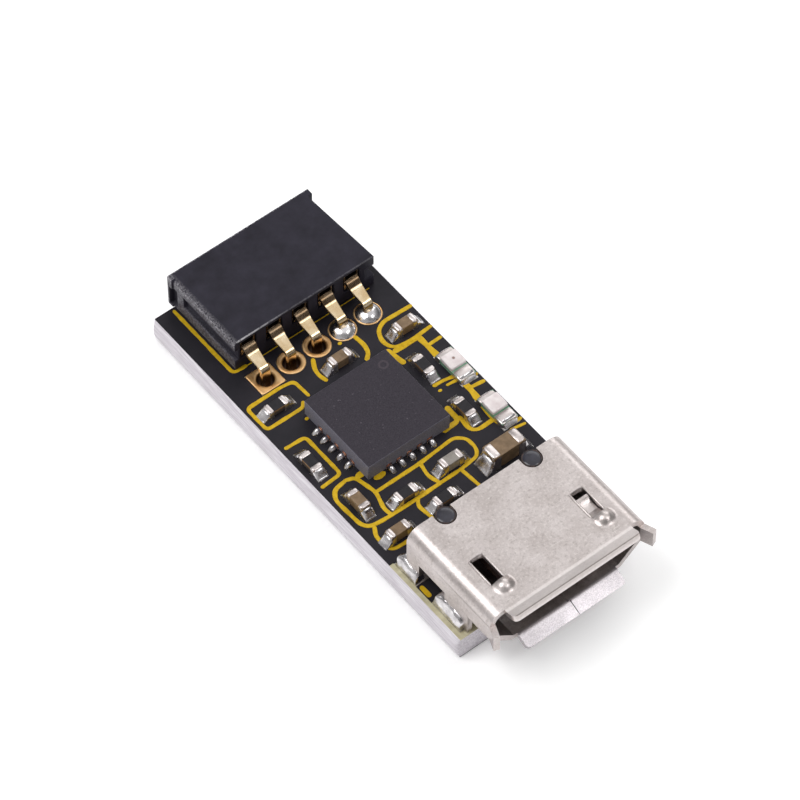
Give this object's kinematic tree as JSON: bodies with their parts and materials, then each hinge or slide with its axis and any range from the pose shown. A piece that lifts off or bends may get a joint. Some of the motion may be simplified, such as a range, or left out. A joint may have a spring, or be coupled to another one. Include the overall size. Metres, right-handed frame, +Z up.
{
  "type": "usb to serial adapter module",
  "caption": "Narrow black circuit board with a micro USB socket at one end, a leadless converter chip, small surface parts and a low right angle socket strip at the other end.",
  "frame": {"origin": "middle of the part's outline, on the plane of the board's underside", "axes": "+Y along the board from the USB mouth to the socket strip's mouth, +X across the board, +Z up from the underside to the side that carries the parts"},
  "size_m": [0.0086, 0.0214, 0.0039],
  "materials": {
    "board_core": "pale glass laminate, snapped edges",
    "solder_mask": "black, slightly glossy",
    "gold_plating": "orange gold plating",
    "tinned_pad": "tinned copper",
    "contact_gold": "pale gold flash on stamped strip",
    "shell_metal": "satin plated steel sheet",
    "socket_plastic": "black moulding",
    "solder": "bright solder",
    "header_plastic": "black moulding, cut ends",
    "chip_moulding": "dark grey epoxy moulding, no marking",
    "lead_copper": "copper lead frame",
    "lamp_lens": "milky clear moulding",
    "lamp_base": "thin laminate base",
    "end_plating": "tinned terminal",
    "grey_ceramic": "grey ceramic",
    "resistor_glaze": "black glaze over white ceramic",
    "tan_ceramic": "tan ceramic"
  },
  "bodies": {
    "root": {"capacitor_1_body": "tan_ceramic", "capacitor_1_ends": "end_plating", "capacitor_2_body": "tan_ceramic", "capacitor_2_ends": "end_plating", "capacitor_3_body": "grey_ceramic", "capacitor_3_ends": "end_plating", "capacitor_4_body": "tan_ceramic", "capacitor_4_ends": "end_plating", "capacitor_5_body": "tan_ceramic", "capacitor_5_ends": "end_plating", "chip_leads": "lead_copper", "circuit_board": "board_core", "component_pads": "gold_plating", "component_solder": "solder", "converter_chip": "chip_moulding", "header_contact_1": "contact_gold", "header_contact_2": "contact_gold", "header_contact_3": "contact_gold", "header_contact_4": "contact_gold", "header_contact_5": "contact_gold", "header_housing": "header_plastic", "header_solder_4": "solder", "header_solder_5": "solder", "plated_hole_1": "gold_plating", "plated_hole_2": "gold_plating", "plated_hole_3": "gold_plating", "plated_hole_4": "gold_plating", "plated_hole_5": "gold_plating", "receive_lamp_base": "lamp_base", "receive_lamp_ends": "end_plating", "receive_lamp_lens": "lamp_lens", "resistor_1_body": "resistor_glaze", "resistor_1_ends": "end_plating", "resistor_2_body": "resistor_glaze", "resistor_2_ends": "end_plating", "resistor_3_body": "resistor_glaze", "resistor_3_ends": "end_plating", "resistor_4_body": "resistor_glaze", "resistor_4_ends": "end_plating", "resistor_5_body": "resistor_glaze", "resistor_5_ends": "end_plating", "resistor_6_body": "resistor_glaze", "resistor_6_ends": "end_plating", "shell_pads": "tinned_pad", "solder_mask_bottom": "solder_mask", "solder_mask_top": "solder_mask", "storage_capacitor_body": "tan_ceramic", "storage_capacitor_ends": "end_plating", "transmit_lamp_base": "lamp_base", "transmit_lamp_ends": "end_plating", "transmit_lamp_lens": "lamp_lens", "usb_contact_1": "contact_gold", "usb_contact_2": "contact_gold", "usb_contact_3": "contact_gold", "usb_contact_4": "contact_gold", "usb_contact_5": "contact_gold", "usb_insulator": "socket_plastic", "usb_shell": "shell_metal", "usb_shell_solder": "solder"}
  },
  "joints": []
}
